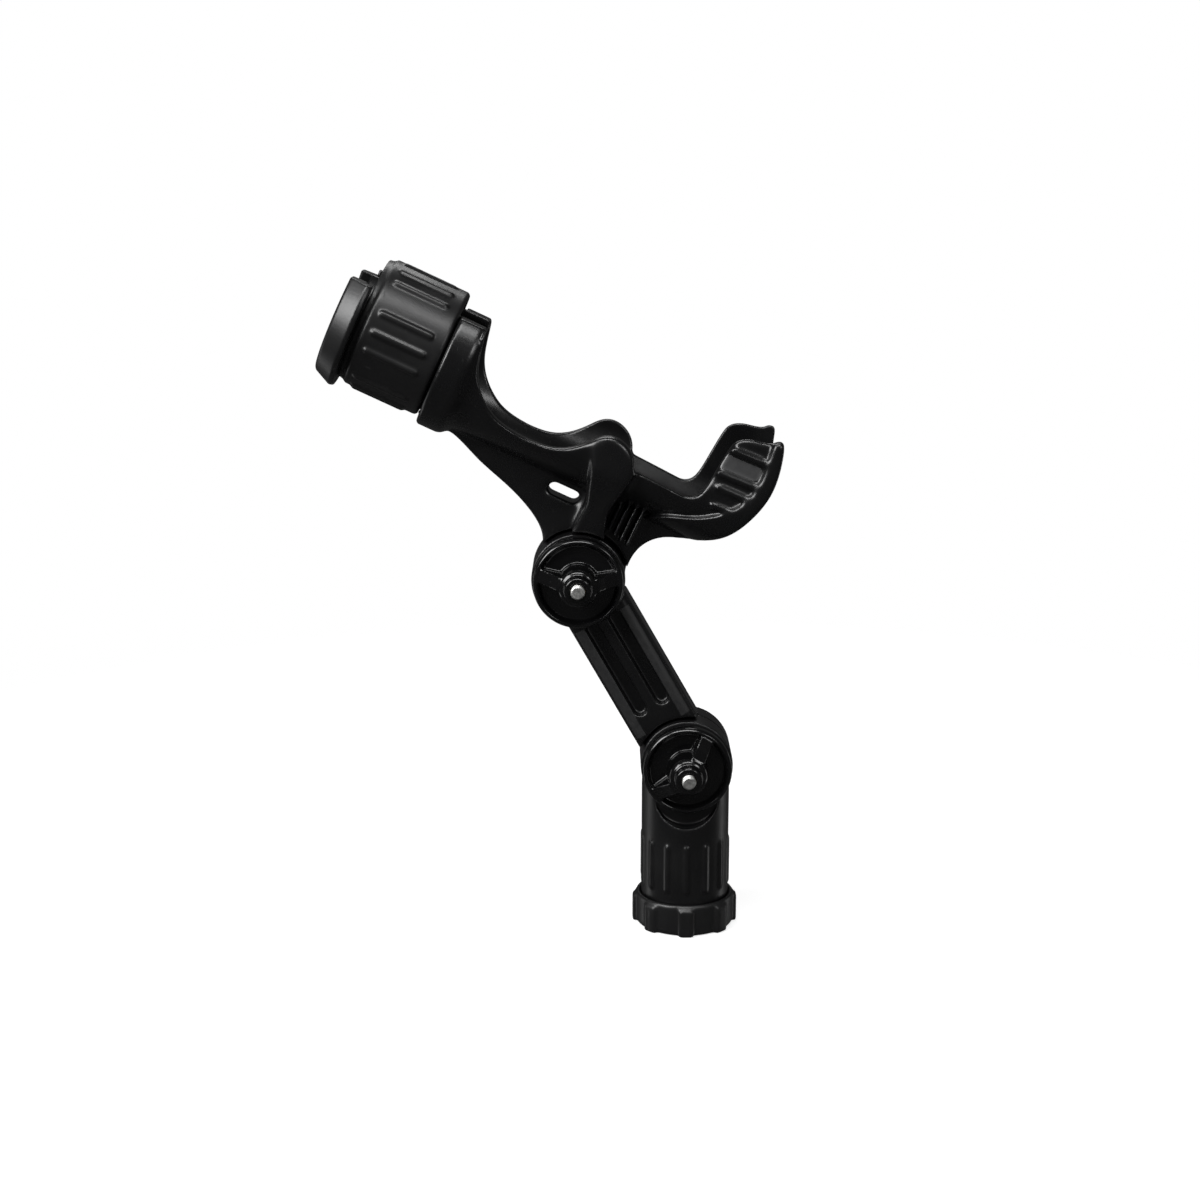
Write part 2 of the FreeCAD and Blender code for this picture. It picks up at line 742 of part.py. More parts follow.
def cross_rib(start, end, half_width):
    """A bar between two (x, y) points, right across the cradle."""
    along = Vector(end[0] - start[0], end[1] - start[1], 0)
    side = Vector(-along.y, along.x, 0).normalize() * half_width
    a = Vector(start[0], start[1], 0)
    b = a + along
    points = [a + side, b + side, b - side, a - side]
    return prism([(p.x, p.y) for p in points], -FAR, FAR)


def pillar():
    """The column that carries the trough's walls down into the neck."""
    def section(y, x_low, x_high, half):
        corners = [Vector(x_low, y, -half), Vector(x_high, y, -half),
                   Vector(x_high, y, half), Vector(x_low, y, half)]
        return Part.makePolygon(corners + corners[:1])

    sections = [
        section(8.0, 70.0, 99.0, V.wall_radius + 0.9),
        section(-14.0, 79.0, 97.5, V.wall_radius + 0.4),
        section(-32.0, 85.0, 95.5, V.wall_radius - 8.0),
        section(-58.0, 84.0, 104.0, V.ear_thickness - 1.5),
    ]
    return Part.makeLoft(sections, True, True)


def cradle():
    """The trough, its hook, flange and tube, and the neck down to the upper pivot's far ear."""
    side = slab(side_outline(), -FAR, FAR)
    hook_zone = beyond(HOOK_START)
    swoop = side.common(trough_section(V.wall_radius)).cut(hook_zone)
    hook = side.common(trough_section(V.hook_wall_radius))
    rim = side.common(trough_section(V.hook_rim_radius)).common(hook_rim())
    ribs = [side.common(trough_section(V.hook_rim_radius - 0.8)).common(cross_rib(*rib))
            for rib in CROSS_RIBS]
    web = side.common(block((-FAR, 3 * FAR), (-2 * FAR, 0), (-V.web_half_width, V.web_half_width)))
    column = side.common(pillar())
    solid = swoop.fuse([hook, rim, web, column] + ribs + floor_ribs(side))
    solid = solid.fuse([flange(), tube(), pivot_ear()])
    solid = solid.cut([trough_way(), open_mouth(), tether_slot(), pivot_sweep()] + detent_and_pads())
    solid = finish_far_ear(solid, V.pivot_along, -V.pivot_below)
    return in_cradle_frame("cradle", solid.removeSplitter())


def floor_ribs(side):
    """The thin parallel ribs under the hook, from the web out to the walls."""
    ribs = []
    for x, y in FLOOR_RIBS:
        bar = block((x - 0.7, x + 0.7), (y - 6.0, -20.0), (-FLOOR_RIB_REACH, FLOOR_RIB_REACH))
        ribs.append(side.common(bar))
    return ribs


def flange():
    """The ring that the collar runs against, its open edge following the swoop's rim."""
    ring = turned_about_rod([
        (V.flange_start, V.trough_radius - 1),
        (V.flange_start, V.flange_radius - 1.0),
        (V.flange_start + 1.0, V.flange_radius),
        (V.flange_end, V.flange_radius),
        (V.flange_end + 2.0, V.flange_radius - 0.6),
        (V.flange_foot, V.wall_radius + 0.2),
        (V.flange_foot, V.trough_radius - 1),
    ])
    corners = [RIM[-1], (RIM[-1][0], -FAR), (V.flange_start, -FAR), (V.flange_start, V.tube_top), RIM[0]]
    points = [Vector(x, y, 0) for x, y in corners]
    edges = [curve(RIM)] + [Part.makeLine(a, b) for a, b in zip(points, points[1:])]
    return ring.common(slab(edges, -FAR, FAR))


def tube():
    """The tube that the collar turns on."""
    return rod_cylinder(V.tube_radius, -V.tube_end, V.flange_start + 1)


def pivot_ear():
    """The far ear in the cradle's frame."""
    ear = far_ear()
    ear.translate(Vector(V.pivot_along, -V.pivot_below, 0))
    return ear


def trough_way():
    """The space that the rod lies in."""
    bore = rod_cylinder(V.trough_radius, -FAR, 3 * FAR)
    above = block((RIM[0][0], 3 * FAR), (0, FAR), (-V.trough_radius, V.trough_radius))
    return bore.fuse(above)


def open_mouth():
    """The gap in the tube and the flange that the rod drops through, and their level tops."""
    gap = block((-FAR, FAR), (0, FAR), (-V.mouth_half_width, V.mouth_half_width))
    top = block((-FAR, RIM[0][0]), (V.tube_top, FAR), (-FAR, FAR))
    return gap.fuse(top)


def tether_slot():
    """The slot through the neck for a safety cord."""
    radius = V.slot_width / 2
    half = V.slot_length / 2 - radius
    slot = block((-half, half), (-radius, radius), (-FAR, FAR))
    slot = slot.fuse([cylinder(radius, -FAR, FAR, x, 0) for x in (-half, half)])
    slot.translate(Vector(SLOT_CENTRE[0], SLOT_CENTRE[1], 0))
    return slot


def pivot_sweep():
    """Room for the arm's near ear, and for the knob in front of it."""
    return cylinder(V.ear_sweep, -V.ear_gap, FAR, V.pivot_along, -V.pivot_below)


def detent_and_pads():
    """The detent's pocket in the flange, the pads' seats and the cap's screw holes in the tube."""
    pocket = Part.makeCylinder(V.detent_radius + FIT, V.detent_depth,
                               Vector(V.flange_start, -V.detent_circle, 0), Vector(1, 0, 0))
    return [pocket, friction_pads_shape(), cap_screw_holes(V.cap_screw_radius)]


def ring_piece(inner, outer, start, end, middle, spread):
    """A stretch of a ring about the x axis: spread degrees wide, its middle at an angle.

    Angles are measured about the x axis from the near side (0) through the top (90)."""
    ring = Part.makeCylinder(outer, end - start, Vector(start, 0, 0), Vector(1, 0, 0), spread)
    ring = ring.cut(rod_cylinder(inner, start - 1, end + 1))
    first = ring.BoundBox.Center
    current = math.degrees(math.atan2(first.y, first.z))
    ring.rotate(Vector(), Vector(1, 0, 0), current - middle)
    return ring


def friction_pads_shape():
    """Two curved pads low on the tube's outside."""
    start = -(V.collar_length + V.pad_length) / 2
    pads = [ring_piece(V.pad_inner, V.pad_outer, start, start + V.pad_length, angle, V.pad_angle)
            for angle in (225, 315)]
    return Part.makeCompound(pads)


def cap_screw_holes(radius):
    """A hole for each of the cap's screws, at the near side, below and at the far side."""
    holes = []
    for angle in (0, -90, 180):
        y = V.cap_screw_circle * math.sin(math.radians(angle))
        z = V.cap_screw_circle * math.cos(math.radians(angle))
        holes.append(Part.makeCylinder(radius, V.cap_screw_length, Vector(-V.cap_start, y, z),
                                       Vector(1, 0, 0)))
    return Part.makeCompound(holes)


# ---------------------------------------------------------------- collar, cap and detent
def in_cradle_frame(name, shape):
    """A piece drawn in the cradle's frame."""
    feature = shaped(name, shape)
    feature.Placement = cradle_place()
    return feature


def collar_mouth_angle():
    """Where the collar's mouth points at rest: opposite the middle of its four rib groups."""
    return V.collar_group / 2 + 180


def locking_collar():
    """The slotted collar, with four groups of three grip ribs, turned to close the tube."""
    start = -V.collar_gap - V.collar_length
    end = -V.collar_gap
    body = turned_about_rod([
        (start, V.collar_bore),
        (start, V.collar_radius - 1.6),
        (start + 2.4, V.collar_radius - 1.2),
        (start + 3.8, V.collar_radius),
        (end - 1.2, V.collar_radius),
        (end, V.collar_radius - 1.0),
        (end, V.collar_bore),
    ])
    bars = []
    for group in range(-1, 3):
        for place in (-1, 0, 1):
            bars.append(collar_rib(group * V.collar_group + place * V.collar_rib_step))
    mouth = ring_piece(1.0, FAR, start - 1, end + 1, collar_mouth_angle(), V.collar_mouth)
    solid = body.fuse(bars).cut([rod_cylinder(V.collar_bore, start - 1, end + 1), mouth])
    return in_cradle_frame("locking_collar", solid.removeSplitter())


def collar_rib(angle):
    """One round-ended grip rib along the collar."""
    reach = V.collar_radius + V.collar_rib_proud - V.collar_rib_radius
    y = reach * math.sin(math.radians(angle))
    z = reach * math.cos(math.radians(angle))
    ends = [Vector(-V.collar_rib_start, y, z), Vector(-V.collar_rib_end, y, z)]
    shaft = Part.makeCylinder(V.collar_rib_radius, V.collar_rib_start - V.collar_rib_end, ends[0],
                              Vector(1, 0, 0))
    return shaft.fuse([Part.makeSphere(V.collar_rib_radius, point) for point in ends])


def end_cap():
    """The flared cap that keeps the collar on the tube."""
    solid = turned_about_rod([
        (-V.cap_start, V.trough_radius + 0.8),
        (-V.cap_start, V.cap_face_radius - 1.2),
        (-V.cap_start + 0.8, V.cap_face_radius),
        (-V.cap_end - 2.0, V.cap_rim_radius),
        (-V.cap_end, V.cap_rim_radius - 0.6),
        (-V.cap_end, V.tube_radius + FIT),
        (-V.tube_end - FIT, V.tube_radius + FIT),
        (-V.tube_end - FIT, V.trough_radius),
        (-V.cap_start + 0.8, V.trough_radius),
    ])
    gap = block((-FAR, 0), (0, FAR), (-V.mouth_half_width, V.mouth_half_width))
    top = block((-FAR, 0), (V.cap_top, FAR), (-FAR, FAR))
    heads = Part.makeCompound([Part.makeCylinder(V.cap_screw_head + FIT, 2.0, hole.BoundBox.Center
                                                 - Vector(V.cap_screw_length / 2 + 0.5, 0, 0),
                                                 Vector(1, 0, 0))
                               for hole in cap_screw_holes(V.cap_screw_radius).Solids])
    solid = solid.cut([gap, top, heads, cap_screw_holes(V.cap_screw_radius)])
    return in_cradle_frame("end_cap", solid)


def end_cap_screws():
    """The three screws that hold the cap on the tube's end."""
    screws = []
    for hole in cap_screw_holes(V.cap_screw_radius).Solids:
        middle = hole.BoundBox.Center
        face = Vector(-V.cap_start, middle.y, middle.z)
        shank = Part.makeCylinder(V.cap_screw_radius, V.cap_screw_length - 0.5, face + Vector(0.3, 0, 0),
                                  Vector(1, 0, 0))
        head = Part.makeCylinder(V.cap_screw_head, 1.2, face + Vector(0.3, 0, 0), Vector(1, 0, 0))
        slots = [block((-V.cap_start, -V.cap_start + 0.9), (middle.y - tall, middle.y + tall),
                       (middle.z - wide, middle.z + wide))
                 for tall, wide in ((0.25, 1.0), (1.0, 0.25))]
        screws.append(shank.fuse(head).cut(slots))
    return in_cradle_frame("end_cap_screws", Part.makeCompound(screws))


def collar_friction_pads():
    """The rubber pads that drag on the collar's bore."""
    return in_cradle_frame("collar_friction_pads", friction_pads_shape())


def detent_ball():
    """The ball that clicks against the collar's end."""
    ball = bind(doc.addObject("Part::Sphere", "detent_ball"), Radius=D.detent_radius)
    place = Vector(V.detent_radius + FIT - V.collar_gap, -V.detent_circle, 0)
    ball.Placement = cradle_place() * Placement(place, Rotation())
    return ball


def detent_spring():
    """The coil spring of square wire behind the ball; wire is half the wire's thickness."""
    wire = 0.22
    coil = V.detent_radius - wire - 0.1
    start = 2 * V.detent_radius - V.collar_gap + 0.35 + wire
    length = V.flange_start + V.detent_depth - start - wire - 0.1
    helix = Part.makeHelix(length / 5, length, coil)
    corners = [Vector(coil + across, 0, along)
               for across, along in ((-wire, -wire), (wire, -wire), (wire, wire), (-wire, wire))]
    profile = Part.makePolygon(corners + corners[:1])
    spring = Part.Wire(helix.Edges).makePipeShell([profile], True, True)
    feature = shaped("detent_spring", spring)
    along_rod = Rotation(Vector(0, 1, 0), RIGHT_TURN)
    feature.Placement = cradle_place() * Placement(Vector(start, -V.detent_circle, 0), along_rod)
    return feature


# ---------------------------------------------------------------- assembly
def build():
    """Make every piece of the holder and return them."""
    lower = lower_pivot_place(KNOB_WING["lower"])
    upper = upper_pivot_place(KNOB_WING["upper"])
    pieces = [
        base_stem(), mount_nut(), stem_circlip(), nut_glide_ring(),
        extension_arm(), cradle(), locking_collar(), end_cap(), end_cap_screws(),
        collar_friction_pads(), detent_ball(), detent_spring(),
    ]
    for name, place in (("lower", lower), ("upper", upper)):
        pieces.append(wing_knob(f"{name}_knob", place))
        pieces.append(knob_insert(f"{name}_knob_insert", place))
        pieces.append(pivot_washer(f"{name}_washer", place))
    pieces.append(pivot_bolt("lower_bolt", lower_pivot_place(V.arm_lean)))
    pieces.append(pivot_bolt("upper_bolt", upper_pivot_place(-V.cradle_tilt)))
    return pieces


def check(pieces):
    """Stop on any object that failed, or any piece that isn't a sound solid."""
    for obj in doc.Objects:
        if {"Invalid", "Error"} & set(obj.State):
            raise RuntimeError(f"{obj.Label}: {obj.State}")
    for piece in pieces:
        if piece.Shape.isNull() or not piece.Shape.isValid() or not piece.Shape.Solids:
            raise RuntimeError(f"{piece.Label} has no sound solid")


def export(pieces):
    """Write each piece to a file named after it."""
    os.makedirs("parts", exist_ok=True)
    for piece in pieces:
        piece.Shape.exportStep(f"parts/{piece.Label}.step")


holder = build()
doc.recompute()
check(holder)
export(holder)
for piece in holder:
    box = piece.Shape.BoundBox
    print(f"{piece.Label:22s} solids {len(piece.Shape.Solids)}  volume {piece.Shape.Volume:10.1f}  "
          f"x {box.XMin:7.1f} {box.XMax:7.1f}  y {box.YMin:6.1f} {box.YMax:6.1f}  "
          f"z {box.ZMin:6.1f} {box.ZMax:6.1f}")
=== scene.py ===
"""Looks of the adjustable rod holder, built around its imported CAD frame, in metres.

The moulded plastic pieces are rounded copies of their CAD nodes, the bolts get real threads, and
the small metal, nylon and rubber pieces keep their CAD shapes.  Origin, axes and places are the
frame's own: +Z up the stem, +X towards the hook and -Y the side with the knobs.
"""
import json
import math

import bmesh
import bpy
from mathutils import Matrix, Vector


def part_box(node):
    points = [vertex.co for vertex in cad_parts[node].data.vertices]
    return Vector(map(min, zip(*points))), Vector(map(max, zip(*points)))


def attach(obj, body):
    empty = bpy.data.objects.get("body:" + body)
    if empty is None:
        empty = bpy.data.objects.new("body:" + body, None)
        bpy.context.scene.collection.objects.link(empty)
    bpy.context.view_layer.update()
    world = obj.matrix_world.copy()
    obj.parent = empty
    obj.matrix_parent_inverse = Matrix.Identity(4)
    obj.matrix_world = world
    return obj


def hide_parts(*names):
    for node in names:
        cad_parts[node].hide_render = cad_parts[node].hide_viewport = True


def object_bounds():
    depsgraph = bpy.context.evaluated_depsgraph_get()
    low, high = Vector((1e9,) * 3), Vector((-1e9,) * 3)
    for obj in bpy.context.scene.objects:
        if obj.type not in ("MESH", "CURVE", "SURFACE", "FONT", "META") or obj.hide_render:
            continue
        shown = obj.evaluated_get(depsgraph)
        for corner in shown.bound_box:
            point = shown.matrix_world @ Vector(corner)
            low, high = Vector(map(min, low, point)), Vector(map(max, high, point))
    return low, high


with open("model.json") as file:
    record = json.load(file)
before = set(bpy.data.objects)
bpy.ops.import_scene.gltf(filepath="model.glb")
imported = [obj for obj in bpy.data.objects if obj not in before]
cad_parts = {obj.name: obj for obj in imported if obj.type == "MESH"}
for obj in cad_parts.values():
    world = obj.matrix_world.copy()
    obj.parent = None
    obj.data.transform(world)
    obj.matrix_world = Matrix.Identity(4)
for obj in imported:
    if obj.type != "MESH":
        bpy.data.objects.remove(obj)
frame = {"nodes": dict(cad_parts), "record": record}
CAD_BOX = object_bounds()
NODES = frame["nodes"]
MM = 0.001

BODY_OF = {node: body for body, nodes in frame["record"]["behaviour"]["bodies"].items()
           for node in nodes}
SLOT_OF = {part["node"]: part["material_slot"] for part in frame["record"]["subparts"]}

# camera
CAMERA_AT = (-0.04032, -0.89789, 0.37253)
CAMERA_PITCH = 76.5
LENS = 60.0
SENSOR = 36.0

# the cradle's frame: where its origin lies on the rod's axis (x, z) and its tilt; then two places
# in it, in mm along the axis and above it
ROD_ORIGIN = (-0.110065, 0.269976)
TILT = math.radians(25.0)
UPPER_PIVOT = (96.8, -65.9)
SLOT_CENTRE = (74.4, -33.2)

# the arm: height of its lower pivot in mm, and its lean from upright
LOWER_PIVOT_HEIGHT = 81.0
ARM_LEAN = math.radians(29.6)

# rounding of the moulded pieces: share of the way that a point moves at each smoothing pass
SMOOTH_FACTOR = 0.5

# the cradle's further rounding: spans in mm over which it grows from none to full
SOFT_OUT = (24.5, 27.0)             # from the rod's axis
SOFT_SWOOP = (14.0, 20.0)           # along the axis
SOFT_HOOK = (100.0, 112.0)          # along the axis, from the swoop to the hook
SOFT_EAR = (22.5, 27.0)             # from the upper pivot
SOFT_SLOT = (5.5, 8.0)              # from the slot's centre
RIBS_ALONG = (93.0, 95.5)           # the floor ribs, which stay crisp
RIBS_ACROSS = (15.0, 18.0)
RIBS_BELOW = (24.0, 28.0)
LESS_ON_HOOK = 0.33                 # share of the rounding that the hook doesn't get
LEAST_AT_SLOT = 0.25                # share that is left at the slot's edge
LEAST_WEIGHT = 0.01                 # points that would get less aren't rounded further

# spark-textured faces, in mm: the hook's large window and the arm's side rails, whose lighter
# colour is a painted sheen
WINDOW_ALONG = (129.0, 150.0)
WINDOW_ABOVE = (9.2, 18.0)
WINDOW_ACROSS = (25.6, 26.7)
WINDOW_FACING = 0.9
RAIL_ALONG = (22.0, 80.0)
RAIL_ACROSS = (9.4, 15.0)
RAIL_FACING = 0.75

# the pivot bolts
THREAD_PITCH = 1.27 * MM
THREAD_DEPTH = 0.62 * MM
THREAD_SHARPNESS = 0.8
THREAD_SEGMENTS = 48
ROWS_PER_TURN = 10
BOLT_RADIUS = 3.15 * MM
BOLT_POINT = 0.7 * MM
HEAD_HEIGHT = 4.4 * MM
HEAD_FLATS = 0.985                  # size across the flats, as a share of the turned head's box
HEAD_CHAMFER = 0.55 * MM
HEAD_CONE = 0.945                   # the chamfer's small end, as a share of half the flats
HEAD_STEPS = 8                      # points on each of the head's six sides
SHANK_IN_HEAD = 1.0 * MM
SHARP_ANGLE = math.radians(38)

# stage
FLOOR_RADIUS = 3.0
FLOOR_SEGMENTS = 96
FLOOR_GAP = 0.0002
FLOOR_FADE = (0.16, 0.60)           # distances from the middle over which the floor fades away
FLOOR_GLOW = 0.74
ROOM_LIGHT = 0.050
LIT_CENTRE = (-0.05, 0.0, 0.17)
# each light's place, width, height and power
LIGHTS = {
    "key_light": ((-0.95, -0.70, 0.80), 0.70, 0.70, 17.0),
    "top_light": ((-0.10, -0.60, 1.20), 0.90, 0.25, 9.0),
    "front_light": ((0.75, -1.10, 0.75), 0.35, 0.35, 3.2),
    "right_light": ((1.15, 0.45, -0.15), 0.25, 0.90, 1.0),
    "left_light": ((-1.15, 0.45, -0.15), 0.25, 0.90, 1.0),
    "back_light": ((-0.10, 0.90, 1.10), 0.80, 0.30, 3.5),
}


# ---------------------------------------------------------------- materials
class Shader:
    """A material's node tree, with short calls for the nodes that the finishes share."""

    def __init__(self, name):
        self.material = bpy.data.materials.new(name)
        self.material.use_nodes = True
        self.tree = self.material.node_tree
        self.tree.nodes.clear()
        self.surface = self.node("ShaderNodeBsdfPrincipled")
        output = self.node("ShaderNodeOutputMaterial")
        self.link(self.surface.outputs["BSDF"], output.inputs["Surface"])
        self.place = self.node("ShaderNodeTexCoord").outputs["Object"]

    def node(self, kind, **settings):
        made = self.tree.nodes.new(kind)
        for name, value in settings.items():
            setattr(made, name, value)
        return made

    def link(self, source, target):
        self.tree.links.new(source, target)

    def noise(self, scale, detail=3.0, stretch=None):
        """Noise of that many cells to the metre, stretched along the axes where asked."""
        made = self.node("ShaderNodeTexNoise")
        made.inputs["Scale"].default_value = scale
        made.inputs["Detail"].default_value = detail
        place = self.place
        if stretch is not None:
            mapping = self.node("ShaderNodeMapping")
            mapping.inputs["Scale"].default_value = stretch
            self.link(place, mapping.inputs["Vector"])
            place = mapping.outputs["Vector"]
        self.link(place, made.inputs["Vector"])
        return made.outputs["Fac"]

    def ramp(self, value, low, high, start, end):
        """Value from low..high mapped to start..end, held at both ends."""
        made = self.node("ShaderNodeMapRange", clamp=True)
        made.inputs["From Min"].default_value = low
        made.inputs["From Max"].default_value = high
        made.inputs["To Min"].default_value = start
        made.inputs["To Max"].default_value = end
        self.link(value, made.inputs["Value"])
        return made.outputs["Result"]

    def maths(self, operation, a, b):
        """One operation on two inputs; each is a number or a socket."""
        made = self.node("ShaderNodeMath", operation=operation)
        for socket, value in zip(made.inputs, (a, b)):
            if isinstance(value, (int, float)):
                socket.default_value = value
            else:
                self.link(value, socket)
        return made.outputs["Value"]

    def blend(self, share, first, second):
        """A colour from first to second; each is a colour or a socket."""
        made = self.node("ShaderNodeMix", data_type="RGBA")
        self.link(share, made.inputs["Factor"])
        for name, value in (("A", first), ("B", second)):
            socket = next(s for s in made.inputs if s.name == name and s.type == "RGBA")
            if isinstance(value, tuple):
                socket.default_value = (*value, 1.0)
            else:
                self.link(value, socket)
        return next(s for s in made.outputs if s.type == "RGBA")

    def bumps(self, *layers):
        """Bump layers of (height socket, strength, distance in metres), one over the other."""
        normal = None
        for height, strength, distance in layers:
            made = self.node("ShaderNodeBump")
            made.inputs["Strength"].default_value = strength
            made.inputs["Distance"].default_value = distance
            self.link(height, made.inputs["Height"])
            if normal is not None:
                self.link(normal, made.inputs["Normal"])
            normal = made.outputs["Normal"]
        self.link(normal, self.surface.inputs["Normal"])

    def set(self, **values):
        """Constants on the surface's own sockets."""
        for name, value in values.items():
            self.surface.inputs[name.replace("_", " ")].default_value = value

    def flow_marks(self):
        """The faint long marks of plastic that has flowed through a mould."""
        return self.ramp(self.noise(22.0, 2.0, (1.0, 1.0, 0.35)), 0.35, 0.65, 0.0, 1.0)

    def worn_edges(self):
        """How worn a spot is: high on sharp outward edges, broken up by noise."""
        edge = self.node("ShaderNodeNewGeometry").outputs["Pointiness"]
        sharp = self.ramp(edge, 0.56, 0.68, 0.0, 1.0)
        patchy = self.ramp(self.noise(160.0, 5.0), 0.42, 0.66, 0.0, 1.0)
        return self.maths("MULTIPLY", sharp, patchy)


def moulded_plastic(name, base, worn, gloss, grain):
    """Black moulded plastic: faint flow marks, fine grain, rubbed edges and hairline scratches."""
    s = Shader(name)
    deep = tuple(0.72 * c for c in base)
    wear = s.worn_edges()
    s.link(s.blend(wear, s.blend(s.flow_marks(), deep, base), worn), s.surface.inputs["Base Color"])
    smudges = s.ramp(s.noise(55.0, 4.0), 0.36, 0.68, gloss - 0.035, gloss + 0.06)
    scratch = s.ramp(s.noise(900.0, 2.0, (1.0, 0.12, 0.3)), 0.66, 0.74, 0.0, 0.10)
    rough = s.maths("ADD", s.maths("ADD", smudges, scratch), s.maths("MULTIPLY", wear, 0.15))
    s.link(rough, s.surface.inputs["Roughness"])
    s.bumps((s.noise(70.0, 1.0), 0.10, 0.25 * MM), (s.noise(2600.0, 3.0), grain, 0.02 * MM))
    s.set(IOR=1.52)
    return s.material


def textured_plastic(name, base, rough):
    """The same plastic where the mould is spark-textured: dull and finely pebbled, in the base
    colour given, which here is lighter as a painted sheen.
    """
    s = Shader(name)
    deep = tuple(0.8 * c for c in base)
    s.link(s.blend(s.flow_marks(), deep, base), s.surface.inputs["Base Color"])
    s.link(s.ramp(s.noise(400.0, 4.0), 0.35, 0.68, rough - 0.06, rough + 0.08),
           s.surface.inputs["Roughness"])
    s.bumps((s.noise(1500.0, 4.0), 0.45, 0.04 * MM))
    s.set(IOR=1.52)
    return s.material


def steel(name, tint, dark, rough, brushed):
    """Stainless steel with fine turning marks and a little tarnish."""
    s = Shader(name)
    tarnish = s.ramp(s.noise(190.0, 4.0), 0.40, 0.72, 0.0, 1.0)
    s.link(s.blend(tarnish, tint, dark), s.surface.inputs["Base Color"])
    marks = s.noise(1400.0, 2.0, brushed)
    s.link(s.ramp(marks, 0.30, 0.70, rough - 0.06, rough + 0.14), s.surface.inputs["Roughness"])
    s.bumps((marks, 0.25, 0.01 * MM))
    s.set(Metallic=1.0)
    return s.material


def brass(name):
    """Turned brass, dulled in patches."""
    s = Shader(name)
    dull = s.ramp(s.noise(240.0, 4.0), 0.40, 0.70, 0.0, 1.0)
    s.link(s.blend(dull, (0.72, 0.55, 0.28), (0.45, 0.33, 0.17)), s.surface.inputs["Base Color"])
    s.link(s.ramp(dull, 0.0, 1.0, 0.22, 0.42), s.surface.inputs["Roughness"])
    s.bumps((s.noise(1500.0, 2.0, (1.0, 0.1, 1.0)), 0.25, 0.01 * MM))
    s.set(Metallic=1.0)
    return s.material


def soft_polymer(name, base, other, rough, grain):
    """Matt nylon or rubber, slightly mottled."""
    s = Shader(name)
    mottle = s.ramp(s.noise(130.0, 4.0), 0.35, 0.65, 0.0, 1.0)
    s.link(s.blend(mottle, base, other), s.surface.inputs["Base Color"])
    s.link(s.ramp(mottle, 0.0, 1.0, rough - 0.07, rough + 0.07), s.surface.inputs["Roughness"])
    s.bumps((s.noise(1800.0, 3.0), grain, 0.03 * MM))
    return s.material


def make_materials():
    """One finish for each of the record's slots, and those of the stem, knobs and panels."""
    worn = (0.014, 0.014, 0.0145)
    return {
        "black_plastic": moulded_plastic(
            "black_plastic", (0.0035, 0.0035, 0.0038), worn, 0.27, 0.08),
        "stem_plastic": moulded_plastic(
            "stem_plastic", (0.0030, 0.0030, 0.0033), worn, 0.35, 0.10),
        "grip_plastic": moulded_plastic(
            "grip_plastic", (0.0045, 0.0045, 0.0048), (0.017, 0.017, 0.0175), 0.38, 0.12),
        "knob_plastic": moulded_plastic(
            "knob_plastic", (0.0030, 0.0030, 0.0032), worn, 0.15, 0.05),
        # the rails' and the window's base colours are lighter than the plain plastic's: a painted
        # sheen over their real dull spark texture
        "rail_plastic_painted_sheen": textured_plastic("rail_plastic_painted_sheen", (0.012, 0.012, 0.0125), 0.50),
        "window_plastic_painted_sheen": textured_plastic("window_plastic_painted_sheen", (0.034, 0.034, 0.035), 0.50),
        "steel": steel("steel", (0.66, 0.66, 0.64), (0.46, 0.46, 0.45), 0.42, (1.0, 0.15, 1.0)),
        "spring_steel": steel(
            "spring_steel", (0.62, 0.62, 0.63), (0.40, 0.40, 0.42), 0.30, (1.0, 1.0, 0.2)),
        "brass": brass("brass"),
        "nylon": soft_polymer("nylon", (0.80, 0.78, 0.72), (0.70, 0.68, 0.61), 0.42, 0.25),
        "rubber": soft_polymer("rubber", (0.026, 0.026, 0.026), (0.042, 0.042, 0.042), 0.72, 0.5),
    }


# ---------------------------------------------------------------- pieces
def finish_piece(piece, node, material):
    """Give a new piece its material, and let it stand for its CAD node."""
    piece.data.materials.clear()
    piece.data.materials.append(material)
    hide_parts(node)
    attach(piece, BODY_OF[node])


def in_scene(name, data):
    """A new object in the scene."""
    made = bpy.data.objects.new(name, data)
    bpy.context.scene.collection.objects.link(made)
    return made


def smoothing(piece, name, passes):
    """A smoothing modifier on a piece."""
    smooth = piece.modifiers.new(name, "SMOOTH")
    smooth.factor = SMOOTH_FACTOR
    smooth.iterations = passes
    return smooth


def applied(piece):
    """Swap a piece's mesh for its modified one."""
    graph = bpy.context.evaluated_depsgraph_get()
    mesh = bpy.data.meshes.new_from_object(piece.evaluated_get(graph))
    old = piece.data
    piece.modifiers.clear()
    piece.data = mesh
    bpy.data.meshes.remove(old)


def held_in_box(mesh, low, high):
    """Keep every vertex inside a box."""
    for vertex in mesh.vertices:
        vertex.co = Vector(max(a, min(b, v)) for v, a, b in zip(vertex.co, low, high))


def grows(value, span):
    """0 below a span, 1 above it and smooth between."""
    low, high = span
    share = max(0.0, min(1.0, (value - low) / (high - low)))
    return share * share * (3.0 - 2.0 * share)


def within(value, span):
    """Whether a value lies inside a span."""
    return span[0] < value < span[1]


def in_rod_frame(point):
    """A point's distances in mm along the rod axis, above it and to the side."""
    dx = point.x - ROD_ORIGIN[0]
    dz = point.z - ROD_ORIGIN[1]
    along = (dx * math.cos(TILT) - dz * math.sin(TILT)) / MM
    above = (dx * math.sin(TILT) + dz * math.cos(TILT)) / MM
    return along, above, abs(point.y) / MM


